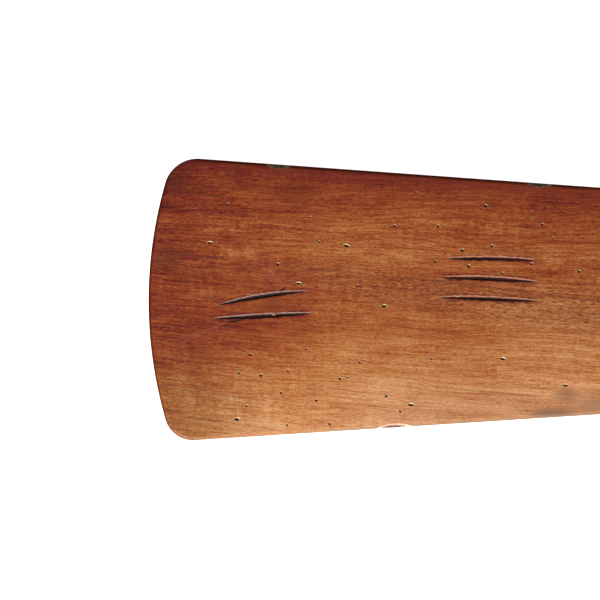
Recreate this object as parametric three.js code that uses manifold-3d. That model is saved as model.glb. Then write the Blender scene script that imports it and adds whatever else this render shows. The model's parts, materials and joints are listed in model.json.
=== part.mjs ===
// A wooden ceiling-fan blade on its cast blade iron, with the screws, washers and gaskets that hold it.
//
// Millimetres. The origin is the centre of the face that bolts to the fan's motor. +X runs outwards along
// the blade to its tip, +Y runs across the blade, and +Z comes out of the show face, which looks down into
// the room when the fan hangs. The blade lies flat, and the motor foot is turned by the blade's pitch.

import * as THREE from "three";
import { mergeVertices } from "three/addons/utils/BufferGeometryUtils.js";
import Module from "manifold-3d";

const wasm = await Module();
wasm.setup();

// ---------------------------------------------------------------- driving dimensions

const BLADE = {
  rootX: 75, // where the board starts, measured from the motor foot
  length: 500,
  rootWidth: 88, // between the side lines at the root end
  tipWidth: 156, // between the side lines, carried on to the tip
  tipRadius: 230, // the shallow arc across the tip
  tipCornerLeft: 15.5, // on the +Y side
  tipCornerRight: 18, // on the -Y side
  rootCorner: 8,
  edgeRadius: 2.5, // the rounded arris all the way round
  backZ: 24,
};

// The board is five-ply: thick faces, thin crossbands and a core, counted from the back.
const PLIES = [
  ["blade_back_ply", 1.6],
  ["blade_lower_crossband", 1.2],
  ["blade_core_ply", 1.4],
  ["blade_upper_crossband", 1.2],
  ["blade_face_ply", 1.6],
];

const THICKNESS = PLIES.reduce((sum, [, ply]) => sum + ply, 0);
const SHOW_Z = BLADE.backZ + THICKNESS;
const TIP_X = BLADE.rootX + BLADE.length;

// The iron's three-lobed pad lies on the show face, with one blade screw under each lobe.
const PAD = {
  centreX: 115,
  screwCircle: 30,
  radius: 36,
  lobe: 8, // how far the outline swings in and out of its mean radius
  thickness: 4,
  topRound: 1.5,
  windowRadius: 12,
  windowLobe: 3.5,
  bossRadius: 8.5,
  bossHeight: 3.6,
  tappedShare: 0.55, // how far up the boss its blind hole runs
  screwShare: 0.4, // how far up the boss the screw's tip reaches
};

const GASKET = { thickness: 1, setback: 1 };
const MOTOR_GASKET = { thickness: 2, setback: 0.5 };
const PAD_Z = SHOW_Z + GASKET.thickness;

const PITCH = THREE.MathUtils.degToRad(12);

const FOOT = {
  innerX: -14,
  outerX: 17,
  width: 56,
  corner: 9,
  thickness: 5,
  round: 1.2,
  screwSpacing: 32,
};

// The neck leaves the foot level, climbs steeply between the two bends, and arrives level in the pad.
const NECK = {
  startX: 10,
  footBendX: 45,
  padBendX: 30,
  endX: 104,
  footWidth: 30,
  waistWidth: 19,
  padWidth: 27,
  depth: 7,
  rootClearance: 4, // the neck stays above the pad's level from this far before the board
};

const BLADE_SCREW = { radius: 2.4, head: 4.9, headHeight: 3, clearance: 0.35 };
const MOTOR_SCREW = { radius: 3, head: 5.6, headHeight: 3.8, clearance: 0.4, reach: 12 };
const RECESS = { length: 1.1, width: 0.22, depth: 0.6 }; // shares of the head's radius and height
const FIBRE_WASHER = { radius: 6.5, thickness: 1.5 };
const FLAT_WASHER = { radius: 7, thickness: 1.2 };
const LOCK_WASHER = { radius: 5.4, thickness: 1.5, opening: 14, spring: 0.5 };
const WASHER_EDGE = 0.15; // the small chamfer on a washer's outer corners

const GAP = 0.3; // left between neighbouring pieces that are turned with the foot or cut by each other
const PAST = 1; // how far a cutter runs on past the surface it goes through

// Worm holes in the show face: distance in from the tip, distance across, diameter.
const WORM_HOLES = [
  [43.0, -51.5, 1.4], [87.2, -44.8, 1.1], [92.3, -31.5, 1.4], [69.9, -19.3, 1.7], [112.9, -7.8, 1.5],
  [55.4, 29.7, 1.5], [85.7, 26.4, 1.3], [49.3, 39.6, 1.5], [61.1, 40.8, 1.6], [75.7, 38.3, 1.4],
  [114.4, 33.6, 1.4], [103.7, 42.4, 1.7], [108.0, 41.6, 1.2], [71.9, 50.1, 1.3], [91.1, 54.2, 1.6],
  [53.4, 57.2, 1.4], [75.4, 67.6, 1.3], [98.3, 66.9, 1.5], [144.8, -58.3, 0.9], [182.2, -51.2, 1.8],
  [132.9, -40.4, 1.5], [156.4, -40.2, 1.6], [212.7, -41.4, 1.5], [218.6, -34.0, 1.2], [185.5, -29.6, 1.6],
  [169.6, -27.1, 1.8], [154.9, -20.9, 1.5], [173.0, -18.6, 1.7], [207.0, -20.0, 1.6], [191.3, -14.9, 1.5],
  [232.8, -16.0, 1.5], [153.1, 31.4, 1.4], [128.8, 51.7, 1.6], [136.4, 59.9, 1.5],
];

// Longer pits, drawn out along the grain: distance in from the tip, distance across, length, width.
const WORM_PITS = [
  [33.1, -30.7, 3.5, 1.6], [106.8, -29.5, 3.8, 1.8], [81.3, -9.0, 3.4, 1.5], [48.3, 64.6, 3.3, 2.0],
  [127.4, 3.1, 3.1, 1.7], [191.6, 31.3, 3.5, 1.7], [225.5, 45.5, 3.5, 1.6], [142.0, 56.4, 3.7, 1.8],
];

// Every hole is bored at a slant, as a share of its depth; a long pit also thins to a point.
const PIT = { depthPerWidth: 0.62, slantAlong: 0.2, slantAcross: 0.6, pointed: 0.5 };

// Holes towards the root follow no pattern, so they come from a low-discrepancy sequence.
const ROOT_HOLES = { count: 18, from: 245, to: 392, spread: 48, smallest: 1.4, range: 0.6 };

// Gouges: where each starts and ends (in from the tip, across), how far it bows, its width and depth,
// and how blunt its ends are: a low power holds the full depth for longer.
const GOUGES = [
  { from: [36.4, 3.4], to: [87.5, -4.9], bow: -1.3, width: 2.6, depth: 1.25, bluntness: 0.75 },
  { from: [33.8, 10.2], to: [89.6, 6.8], bow: 0.25, width: 2.6, depth: 1.3, bluntness: 0.7 },
  { from: [161.0, -22.7], to: [210.0, -22.0], bow: -0.45, width: 2.4, depth: 1.3, bluntness: 0.45 },
  { from: [156.8, -12.5], to: [211.2, -10.3], bow: -0.6, width: 2.7, depth: 1.3, bluntness: 0.6 },
  { from: [157.2, -1.9], to: [212.0, 0.1], bow: -0.15, width: 2.5, depth: 1.35, bluntness: 0.55 },
  { from: [292.0, 20.6], to: [337.0, 17.8], bow: -0.6, width: 2.0, depth: 1.25, bluntness: 0.6 },
  { from: [296.0, 30.4], to: [345.0, 28.6], bow: 0.3, width: 2.2, depth: 1.3, bluntness: 0.5 },
];

// Short nicks beside the first two gouges.
const NICKS = [
  { from: [70.2, -4.4], to: [74.8, -7.2], bow: 0.2, width: 0.9, depth: 0.45, bluntness: 0.8 },
  { from: [43.0, 11.8], to: [51.0, 10.4], bow: 0.3, width: 1.4, depth: 0.5, bluntness: 0.8 },
];

// The share of a gouge's length over which each end thins to a line, and its lip at full width.
const GOUGE_END = { needle: 0.07, least: 0.04, lip: 0.1 };

// Rasped dents in the arris: distance in from the tip, which side, half length, bite.
const DENTS = [
  [69.8, -1, 6.2, 1.8],
  [210.9, -1, 6.5, 1.8],
  [132.9, 1, 7, 1.3],
  [318.0, -1, 7, 1.7],
  [388.0, 1, 6, 1.2],
];

// ---------------------------------------------------------------- colours

const finish = (color, roughness, metalness = 0) =>
  new THREE.MeshStandardMaterial({ color, roughness, metalness });

const stainedWood = finish(0x9f5b33, 0.4);
const innerWood = finish(0x7c4a2a, 0.6);
const agedBronze = finish(0x3a2c22, 0.45, 0.8);
const darkSteel = finish(0x4a443e, 0.4, 0.9);
const zincSteel = finish(0xa9a9a4, 0.35, 1);
const redFibre = finish(0x7a2a20, 0.8);
const blackRubber = finish(0x1c1b1a, 0.9);

// ---------------------------------------------------------------- solids from rings

// A closed geometry through rings of equal length. Each ring is star-shaped about its own centre.
function loft(rings) {
  const size = rings[0].length;
  const centres = [rings[0], rings.at(-1)].map((ring) =>
    ring.reduce((sum, point) => sum.add(point), new THREE.Vector3()).divideScalar(size),
  );
  const points = [...rings.flat(), ...centres];
  const [firstCentre, lastCentre] = [points.length - 2, points.length - 1];
  const lastRing = (rings.length - 1) * size;
  const triangles = [];
  for (let i = 0; i < size; i++) {
    const j = (i + 1) % size;
    triangles.push([firstCentre, j, i], [lastCentre, lastRing + i, lastRing + j]);
    for (let r = 0; r < lastRing; r += size) {
      triangles.push([r + i, r + j, r + size + j], [r + i, r + size + j, r + size + i]);
    }
  }
  const volume = triangles.reduce(
    (sum, [a, b, c]) => sum + points[a].dot(new THREE.Vector3().crossVectors(points[b], points[c])),
    0,
  );
  const facing = volume < 0 ? triangles.map(([a, b, c]) => [a, c, b]) : triangles;
  return new THREE.BufferGeometry().setFromPoints(points).setIndex(facing.flat());
}

function toSolid(geometry) {
  const bare = geometry.clone();
  bare.deleteAttribute("normal");
  bare.deleteAttribute("uv");
  const merged = mergeVertices(bare);
  return new wasm.Manifold(
    new wasm.Mesh({
      numProp: 3,
      vertProperties: new Float32Array(merged.attributes.position.array),
      triVerts: new Uint32Array(merged.index.array),
    }),
  );
}

function toGeometry(solid) {
  const { vertProperties, triVerts } = solid.getMesh();
  return new THREE.BufferGeometry()
    .setAttribute("position", new THREE.BufferAttribute(new Float32Array(vertProperties), 3))
    .setIndex(new THREE.BufferAttribute(new Uint32Array(triVerts), 1));
}

const join = (geometries) => geometries.map(toSolid).reduce((whole, next) => whole.add(next));
const carve = (geometry, cutters) => toGeometry(toSolid(geometry).subtract(join(cutters)));

function mesh(name, geometry, material) {
  const made = new THREE.Mesh(geometry, material);
  made.name = name;
  return made;
}

const at = (ring, z) => ring.map((point) => new THREE.Vector3(point.x, point.y, z));

// Points on an arc, counted from the first angle to the second.
function arc(centre, radius, from, to, steps) {
  return Array.from({ length: steps + 1 }, (_, i) => {
    const angle = from + ((to - from) * i) / steps;
    return new THREE.Vector2(centre.x + radius * Math.cos(angle), centre.y + radius * Math.sin(angle));
  });
}

// A round bar standing on the point (x, y), from z = low to z = high.
function bar(x, y, radius, low, high, sides = 20) {
  return new THREE.CylinderGeometry(radius, radius, high - low, sides)
    .rotateX(Math.PI / 2)
    .translate(x, y, (low + high) / 2);
}

// ---------------------------------------------------------------- the board

// The angle of the side lines to the centre line.
const TAPER = Math.atan((BLADE.tipWidth - BLADE.rootWidth) / 2 / BLADE.length);

// The distance from the centre line to the side line at a distance x from the motor foot.
const halfWidth = (x) => BLADE.rootWidth / 2 + Math.tan(TAPER) * (x - BLADE.rootX);

// The centre of a corner arc that touches the side line, for a corner arc centred at x.
const cornerY = (x, radius) => halfWidth(x) - radius / Math.cos(TAPER);

// A tip corner's arc touches the side line and the tip arc, so its centre is found by halving.
function tipCornerCentre(corner) {
  const { tipRadius } = BLADE;
  let [near, far] = [TIP_X - 2 * corner, TIP_X];
  for (let i = 0; i < 40; i++) {
    const x = (near + far) / 2;
    const reach = Math.hypot(x - (TIP_X - tipRadius), cornerY(x, corner));
    if (reach > tipRadius - corner) far = x;
    else near = x;
  }
  return new THREE.Vector2(near, cornerY(near, corner));
}

// From the middle of the tip, round one tip corner and along one side, to the middle of the root.
function halfOutline(inset, tipCorner) {
  const { rootX, rootCorner, tipRadius } = BLADE;
  const root = new THREE.Vector2(rootX + rootCorner, cornerY(rootX + rootCorner, rootCorner));
  const tip = tipCornerCentre(tipCorner);
  const middle = new THREE.Vector2(TIP_X - tipRadius, 0);
  const meet = Math.atan2(tip.y, tip.x - middle.x);
  const side = Math.PI / 2 + TAPER;
  return [
    ...arc(middle, tipRadius - inset, 0, meet, 10).slice(0, -1),
    ...arc(tip, tipCorner - inset, meet, side, 10),
    ...arc(root, rootCorner - inset, side, Math.PI, 5),
  ];
}

// The board's outline, drawn in by inset. Every ring has the same points in the same order.
function outline(inset) {
  const left = halfOutline(inset, BLADE.tipCornerLeft);
  const right = halfOutline(inset, BLADE.tipCornerRight).slice(1);
  return [...left, ...right.map(({ x, y }) => new THREE.Vector2(x, -y)).reverse()];
}

// How far the rounded arris draws the outline in at a height z.
function arrisInset(z) {
  const { edgeRadius, backZ } = BLADE;
  const rise = Math.max(0, edgeRadius - Math.min(z - backZ, SHOW_Z - z));
  return edgeRadius - Math.sqrt(edgeRadius ** 2 - rise ** 2);
}

const ARRIS_STEPS = [0, 0.05, 0.19, 0.41, 0.69, 1];

function plyGeometry(low, high) {
  const rounded = ARRIS_STEPS.map((share) => share * BLADE.edgeRadius);
  const heights = [...rounded.map((d) => BLADE.backZ + d), ...rounded.map((d) => SHOW_Z - d)];
  const inside = heights.filter((z) => z > low + 0.05 && z < high - 0.05).sort((a, b) => a - b);
  return loft([low, ...inside, high].map((z) => at(outline(arrisInset(z)), z)));
}

// How full a gouge is at a share t of its length: needle-thin at both ends, full in the middle.
function fullness(t, bluntness) {
  const { needle, least } = GOUGE_END;
  const ends = Math.min(1, t / needle, (1 - t) / needle);
  const swell = Math.sin(Math.PI * t) ** bluntness;
  return Math.max(least, swell * (0.25 + 0.75 * ends) * Math.min(1, 4 * ends));
}

// A gouge's section, as (across, height): a gentle wall on the -Y side and a steep one opposite.
function gougeSection(half, deep, lip) {
  return [
    [half + lip, 1],
    [-half - lip, 1],
    [-half - lip, 0],
    [-half, -0.08 * deep],
    [-0.7 * half, -0.38 * deep],
    [-0.35 * half, -0.76 * deep],
    [0.05 * half, -0.98 * deep],
    [0.4 * half, -deep],
    [0.7 * half, -0.9 * deep],
    [0.9 * half, -0.55 * deep],
    [half, -0.12 * deep],
    [half + lip, 0],
  ];
}

// One cut of a tool, bowed a little to one side of its straight run.
function gougeCutter({ from, to, bow, width, depth, bluntness }) {
  const steps = 24;
  const start = new THREE.Vector2(TIP_X - from[0], from[1]);
  const run = new THREE.Vector2(TIP_X - to[0], to[1]).sub(start);
  const across = new THREE.Vector2(-run.y, run.x).normalize();
  if (across.y < 0) across.negate();
  const rings = Array.from({ length: steps + 1 }, (_, i) => {
    const t = i / steps;
    const full = fullness(t, bluntness);
    const centre = start.clone().addScaledVector(run, t);
    centre.addScaledVector(across, bow * 4 * t * (1 - t));
    return gougeSection((width / 2) * full, depth * full, GOUGE_END.lip * full).map(([v, z]) => {
      const point = centre.clone().addScaledVector(across, v);
      return new THREE.Vector3(point.x, point.y, SHOW_Z + z);
    });
  });
  return loft(rings);
}

// A worm's exit hole: a slanted bowl with a rounded mouth, stretched along the grain when it is long.
function pitCutter(fromTip, across, length, width = length) {
  const sides = 7;
  const depth = PIT.depthPerWidth * width;
  const pointed = length > width ? PIT.pointed : 0;
  const profile = [
    [0.22, -depth],
    [0.72, -0.56 * depth],
    [0.98, -0.05],
    [1.04, 0],
    [1.04, 1],
  ];
  const rings = profile.map(([share, z]) => {
    const sunk = Math.max(0, -z);
    return Array.from({ length: sides }, (_, i) => {
      const angle = (2 * Math.PI * i) / sides;
      const narrowing = 1 - pointed * Math.max(0, Math.cos(angle));
      return new THREE.Vector3(
        TIP_X - fromTip + (length / 2) * share * Math.cos(angle) + (PIT.slantAlong + pointed) * sunk,
        across + (width / 2) * share * Math.sin(angle) * narrowing + PIT.slantAcross * sunk,
        SHOW_Z + z,
      );
    });
  });
  return loft(rings);
}

function rootHoles() {
  const { count, from, to, spread, smallest, range } = ROOT_HOLES;
  const fraction = (value) => value - Math.floor(value);
  return Array.from({ length: count }, (_, i) => [
    from + (to - from) * fraction(0.13 + 0.7549 * i),
    spread * (2 * fraction(0.41 + 0.5698 * i) - 1),
    smallest + range * fraction(0.31 * i),
  ]);
}

// A bite out of the show face's arris: part of a long ellipsoid that follows the side line.
function dentCutter([fromTip, side, halfLength, bite]) {
  const x = TIP_X - fromTip;
  return new THREE.SphereGeometry(1, 16, 10)
    .scale(halfLength, bite, bite * 1.5)
    .rotateZ(side * TAPER)
    .translate(x, side * (halfWidth(x) - 0.35 * bite), SHOW_Z - 0.2 * bite);
}

const screwPlaces = [
  ["outer", 0],
  ["inner_left", (2 * Math.PI) / 3],
  ["inner_right", (-2 * Math.PI) / 3],
].map(([name, angle]) => ({
  name,
  x: PAD.centreX + PAD.screwCircle * Math.cos(angle),
  y: PAD.screwCircle * Math.sin(angle),
}));

function board() {
  const screwHoles = screwPlaces.map(({ x, y }) =>
    bar(x, y, BLADE_SCREW.radius + BLADE_SCREW.clearance, BLADE.backZ - PAST, SHOW_Z + PAST),
  );
  const dents = DENTS.map(dentCutter);
  const surfaceWear = [
    ...[...GOUGES, ...NICKS].map(gougeCutter),
    ...[...WORM_HOLES, ...rootHoles(), ...WORM_PITS].map((hole) => pitCutter(...hole)),
  ];
  let low = BLADE.backZ;
  return PLIES.map(([name, thickness], i) => {
    const [isBack, isFace] = [i === 0, i === PLIES.length - 1];
    const high = isFace ? SHOW_Z : low + thickness;
    const cuts = [...screwHoles, ...dents, ...(isFace ? surfaceWear : [])];
    const ply = mesh(name, carve(plyGeometry(low, high), cuts), isBack || isFace ? stainedWood : innerWood);
    low = high;
    return ply;
  });
}

// ---------------------------------------------------------------- the blade iron

// A three-lobed ring about the pad's centre, with one lobe pointing outwards.
function trefoil(radius, lobe, steps = 60) {
  return Array.from({ length: steps }, (_, i) => {
    const angle = (2 * Math.PI * i) / steps;
    const reach = radius + lobe * Math.cos(3 * angle);
    return new THREE.Vector2(PAD.centreX + reach * Math.cos(angle), reach * Math.sin(angle));
  });
}

function roundedRectangle(x0, x1, width, corner) {
  const y = width / 2 - corner;
  const quarter = Math.PI / 2;
  return [
    [x1 - corner, y, 0],
    [x0 + corner, y, 1],
    [x0 + corner, -y, 2],
    [x1 - corner, -y, 3],
  ].flatMap(([cx, cy, turn]) => arc({ x: cx, y: cy }, corner, turn * quarter, (turn + 1) * quarter, 5));
}

function padPlate() {
  const { radius, lobe, thickness, topRound } = PAD;
  const top = PAD_Z + thickness;
  const steps = [0, 30, 60, 90].map(THREE.MathUtils.degToRad);
  const rounded = steps.map((a) =>
    at(trefoil(radius - topRound * (1 - Math.cos(a)), lobe), top - topRound * (1 - Math.sin(a))),
  );
  return loft([at(trefoil(radius, lobe), PAD_Z), ...rounded]);
}

function boss({ x, y }) {
  const { bossRadius, bossHeight, thickness } = PAD;
  const profile = [
    [0, -1],
    [bossRadius, -1],
    [bossRadius, 0.25 * bossHeight],
    [0.86 * bossRadius, 0.62 * bossHeight],
    [0.55 * bossRadius, 0.9 * bossHeight],
    [0, bossHeight],
  ].map(([r, z]) => new THREE.Vector2(r, z));
  return new THREE.LatheGeometry(profile, 24).rotateX(Math.PI / 2).translate(x, y, PAD_Z + thickness);
}

// The neck climbs from the foot to the pad, and turns from the foot's pitch to the flat of the blade.
function neck() {
  const { startX, footBendX, padBendX, endX, footWidth, waistWidth, padWidth, depth } = NECK;
  const footZ = MOTOR_GASKET.thickness + FOOT.thickness / 2;
  const path = new THREE.CubicBezierCurve3(
    new THREE.Vector3(startX, 0, footZ),
    new THREE.Vector3(footBendX, 0, footZ),
    new THREE.Vector3(padBendX, 0, PAD_Z + depth / 2),
    new THREE.Vector3(endX, 0, PAD_Z + depth / 2),
  );
  const steps = 20;
  const sides = 20;
  const rings = [];
  for (let i = 0; i <= steps; i++) {
    const t = i / steps;
    const turn = PITCH * (1 - THREE.MathUtils.smoothstep(t, 0, 0.8));
    const tangent = path.getTangent(t);
    const sideways = new THREE.Vector3(0, Math.cos(turn), Math.sin(turn));
    const up = new THREE.Vector3().crossVectors(tangent, sideways).normalize();
    const ends = t < 0.5 ? footWidth : padWidth;
    const half = (waistWidth + (ends - waistWidth) * (2 * t - 1) ** 2) / 2;
    const full = THREE.MathUtils.lerp(FOOT.thickness, depth, THREE.MathUtils.smoothstep(t, 0, 0.3));
    const tall = (full / 2) * (1 - 0.8 * THREE.MathUtils.smoothstep(t, 0.7, 1)); // sinks into the pad
    const ring = [];
    for (let k = 0; k < sides; k++) {
      const angle = (2 * Math.PI * k) / sides;
      const squared = (value) => Math.sign(value) * Math.abs(value) ** 0.7;
      ring.push(
        path
          .getPoint(t)
          .addScaledVector(sideways, half * squared(Math.cos(angle)))
          .addScaledVector(up, tall * squared(Math.sin(angle))),
      );
    }
    rings.push(ring);
  }
  return loft(rings);
}

// Everything on the motor side is drawn level, then turned by the pitch about the blade's long axis.
const pitched = (geometry) => geometry.rotateX(PITCH);

// The foot's outline, drawn in by inset.
function footOutline(inset) {
  const { innerX, outerX, width, corner } = FOOT;
  return roundedRectangle(innerX + inset, outerX - inset, width - 2 * inset, corner - inset);
}

function footPlate() {
  const { thickness, round } = FOOT;
  const top = MOTOR_GASKET.thickness + thickness;
  return pitched(
    loft([
      at(footOutline(0), MOTOR_GASKET.thickness),
      at(footOutline(0), top - round),
      at(footOutline(0.3 * round), top - 0.3 * round),
      at(footOutline(round), top),
    ]),
  );
}

const motorScrewPlaces = [
  ["left", FOOT.screwSpacing / 2],
  ["right", -FOOT.screwSpacing / 2],
].map(([name, y]) => ({ name, y }));

// The window in the middle of the pad, between the lobes, from z = low to z = high.
function padWindow(low, high, setback) {
  const { windowRadius, windowLobe } = PAD;
  return loft([low, high].map((z) => at(trefoil(windowRadius + setback, windowLobe, 36), z)));
}

// Everything under the pad's level, over the board's area and a little before its root end.
function seat() {
  const [reach, width, depth] = [200, 120, 60];
  return new THREE.BoxGeometry(reach, width, depth).translate(
    BLADE.rootX - NECK.rootClearance + reach / 2,
    0,
    PAD_Z - depth / 2,
  );
}

function bladeIron() {
  const body = join([padPlate(), neck(), footPlate(), ...screwPlaces.map(boss)]);
  const padTop = PAD_Z + PAD.thickness;
  const tappedHoles = screwPlaces.map(({ x, y }) =>
    bar(x, y, BLADE_SCREW.radius + GAP, PAD_Z - PAST, padTop + PAD.tappedShare * PAD.bossHeight),
  );
  const footTop = MOTOR_GASKET.thickness + FOOT.thickness;
  const footHoles = motorScrewPlaces.map(({ y }) =>
    pitched(bar(0, y, MOTOR_SCREW.radius + MOTOR_SCREW.clearance, -PAST, 2 * footTop)),
  );
  const window = padWindow(PAD_Z - PAST, padTop + NECK.depth, 0);
  const cuts = join([window, seat(), ...tappedHoles, ...footHoles]);
  return mesh("blade_iron", toGeometry(body.subtract(cuts)), agedBronze);
}

// ---------------------------------------------------------------- gaskets, screws and washers

function bladeGasket() {
  const { setback } = GASKET;
  const sheet = loft([SHOW_Z, PAD_Z].map((z) => at(trefoil(PAD.radius - setback, PAD.lobe, 48), z)));
  const window = padWindow(SHOW_Z - PAST, PAD_Z + PAST, setback);
  const screwHoles = screwPlaces.map(({ x, y }) =>
    bar(x, y, BLADE_SCREW.radius + BLADE_SCREW.clearance, SHOW_Z - PAST, PAD_Z + PAST),
  );
  return mesh("blade_gasket", carve(sheet, [window, ...screwHoles]), blackRubber);
}

function motorGasket() {
  const { thickness, setback } = MOTOR_GASKET;
  const holes = motorScrewPlaces.map(({ y }) =>
    bar(0, y, MOTOR_SCREW.radius + MOTOR_SCREW.clearance, -PAST, thickness + PAST),
  );
  const sheet = loft([0, thickness - GAP].map((z) => at(footOutline(setback), z)));
  return mesh("motor_gasket", pitched(carve(sheet, holes)), blackRubber);
}

// A pan-head screw with a cross recess, standing on its tip at z = 0 with its head upwards.
function panHeadScrew({ radius, head, headHeight }, length) {
  const profile = [
    [0, 0],
    [0.7 * radius, 0],
    [radius, 0.5 * radius],
    [radius, length],
    [head, length],
    [head, length + 0.35 * headHeight],
    [0.9 * head, length + 0.7 * headHeight],
    [0.6 * head, length + 0.95 * headHeight],
    [0, length + headHeight],
  ].map(([r, z]) => new THREE.Vector2(r, z));
  const body = new THREE.LatheGeometry(profile, 20).rotateX(Math.PI / 2);
  const slotTall = 2 * RECESS.depth * headHeight;
  const recess = [0, Math.PI / 2].map((turn) =>
    new THREE.BoxGeometry(RECESS.length * head, RECESS.width * head, slotTall)
      .rotateZ(turn)
      .translate(0, 0, length + headHeight),
  );
  return carve(body, recess);
}

// A flat ring standing on z = low.
function washer(inner, outer, low, thickness) {
  const profile = [
    [inner, 0],
    [outer - WASHER_EDGE, 0],
    [outer, WASHER_EDGE],
    [outer, thickness - WASHER_EDGE],
    [outer - WASHER_EDGE, thickness],
    [inner, thickness],
    [inner, 0],
  ].map(([r, z]) => new THREE.Vector2(r, z));
  return new THREE.LatheGeometry(profile, 28).rotateX(Math.PI / 2).translate(0, 0, low);
}

// A split ring that climbs a little on its way round, as a spring washer does.
function lockWasher(inner, low) {
  const { radius, thickness, opening, spring } = LOCK_WASHER;
  const steps = 24;
  const sweep = 2 * Math.PI - THREE.MathUtils.degToRad(opening);
  const rings = Array.from({ length: steps + 1 }, (_, i) => {
    const angle = (sweep * i) / steps;
    const base = low + (spring * i) / steps;
    return [
      [inner, base],
      [radius, base],
      [radius, base + thickness - spring],
      [inner, base + thickness - spring],
    ].map(([r, z]) => new THREE.Vector3(r * Math.cos(angle), r * Math.sin(angle), z));
  });
  return loft(rings);
}

// From the back of the blade: a fibre washer and a screw that ends inside the iron's boss.
function bladeFasteners() {
  const { thickness, radius } = FIBRE_WASHER;
  const tip = PAD_Z + PAD.thickness + PAD.screwShare * PAD.bossHeight;
  const underHead = BLADE.backZ - thickness;
  return screwPlaces.flatMap(({ name, x, y }) => {
    const screw = panHeadScrew(BLADE_SCREW, tip - underHead).rotateX(Math.PI).translate(x, y, tip);
    const ring = washer(BLADE_SCREW.radius + BLADE_SCREW.clearance, radius, underHead, thickness);
    return [
      mesh(`blade_screw_${name}`, screw, darkSteel),
      mesh(`fibre_washer_${name}`, ring.translate(x, y, 0), redFibre),
    ];
  });
}

// From the room side of the foot: a flat washer, a spring washer and a screw into the motor.
function motorFasteners() {
  const inner = MOTOR_SCREW.radius + MOTOR_SCREW.clearance;
  const flatZ = MOTOR_GASKET.thickness + FOOT.thickness + GAP;
  const lockZ = flatZ + FLAT_WASHER.thickness + GAP;
  const headZ = lockZ + LOCK_WASHER.thickness + GAP;
  return motorScrewPlaces.flatMap(({ name, y }) => {
    const screw = panHeadScrew(MOTOR_SCREW, headZ + MOTOR_SCREW.reach).translate(0, y, -MOTOR_SCREW.reach);
    const flat = washer(inner, FLAT_WASHER.radius, flatZ, FLAT_WASHER.thickness).translate(0, y, 0);
    const lock = lockWasher(inner, lockZ).translate(0, y, 0);
    return [
      mesh(`motor_screw_${name}`, pitched(screw), zincSteel),
      mesh(`flat_washer_${name}`, pitched(flat), zincSteel),
      mesh(`lock_washer_${name}`, pitched(lock), zincSteel),
    ];
  });
}

// ---------------------------------------------------------------- the assembly

const fanBlade = new THREE.Group();
fanBlade.add(
  ...board(),
  bladeIron(),
  bladeGasket(),
  ...bladeFasteners(),
  motorGasket(),
  ...motorFasteners(),
);

export default fanBlade;
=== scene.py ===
import json
import math
import random

import bmesh
import bpy
from mathutils import Matrix, Vector


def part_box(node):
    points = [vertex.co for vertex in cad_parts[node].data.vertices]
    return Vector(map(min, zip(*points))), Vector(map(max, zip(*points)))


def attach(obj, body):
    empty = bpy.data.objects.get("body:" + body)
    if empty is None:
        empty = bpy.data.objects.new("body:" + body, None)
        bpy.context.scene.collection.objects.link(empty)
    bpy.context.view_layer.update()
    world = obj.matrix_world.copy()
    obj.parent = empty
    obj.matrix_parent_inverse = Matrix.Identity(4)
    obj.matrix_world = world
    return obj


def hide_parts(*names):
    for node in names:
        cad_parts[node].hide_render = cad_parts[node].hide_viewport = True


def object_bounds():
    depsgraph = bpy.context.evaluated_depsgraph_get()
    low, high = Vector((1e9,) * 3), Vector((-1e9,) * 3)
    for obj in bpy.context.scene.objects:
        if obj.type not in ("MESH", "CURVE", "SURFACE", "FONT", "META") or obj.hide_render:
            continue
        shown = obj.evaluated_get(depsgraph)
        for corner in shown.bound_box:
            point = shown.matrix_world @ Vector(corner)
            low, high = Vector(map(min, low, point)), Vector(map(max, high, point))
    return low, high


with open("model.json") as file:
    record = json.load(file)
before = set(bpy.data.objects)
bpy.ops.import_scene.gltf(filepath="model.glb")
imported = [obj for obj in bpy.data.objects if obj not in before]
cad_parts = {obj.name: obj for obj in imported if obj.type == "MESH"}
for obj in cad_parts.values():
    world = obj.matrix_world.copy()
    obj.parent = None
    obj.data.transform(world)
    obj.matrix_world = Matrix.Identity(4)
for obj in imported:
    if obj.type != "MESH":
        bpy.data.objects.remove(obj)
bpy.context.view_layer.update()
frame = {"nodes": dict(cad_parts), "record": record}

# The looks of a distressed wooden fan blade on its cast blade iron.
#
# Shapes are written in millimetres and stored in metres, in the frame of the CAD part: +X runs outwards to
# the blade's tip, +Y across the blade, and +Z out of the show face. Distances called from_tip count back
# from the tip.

MM = 0.001


def node_box(name):
    """The lowest and highest corner of a CAD node in millimetres."""
    return [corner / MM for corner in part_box(name)]


# ---------------------------------------------------------------- sizes

ROOT_X = node_box("blade_core_ply")[0].x
TIP_X = node_box("blade_core_ply")[1].x
BACK_Z = node_box("blade_back_ply")[0].z
SHOW_Z = node_box("blade_face_ply")[1].z

ROOT_WIDTH = 88
TIP_WIDTH = 156
TIP_RADIUS = 230
TIP_CORNERS = (15.5, 18)  # on the +Y side and on the -Y side
ROOT_CORNER = 8
EDGE_RADIUS = 2.5
TAPER = math.atan((TIP_WIDTH - ROOT_WIDTH) / 2 / (TIP_X - ROOT_X))

PLIES = [
    "blade_back_ply", "blade_lower_crossband", "blade_core_ply", "blade_upper_crossband", "blade_face_ply",
]

# The motor foot's bolting face gives the pitch that everything on the motor side is turned by.
foot_axis = Vector(frame["record"]["mounts"][0]["axis"])
PITCH = Matrix.Rotation(math.asin(foot_axis.y), 4, "X")

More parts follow.
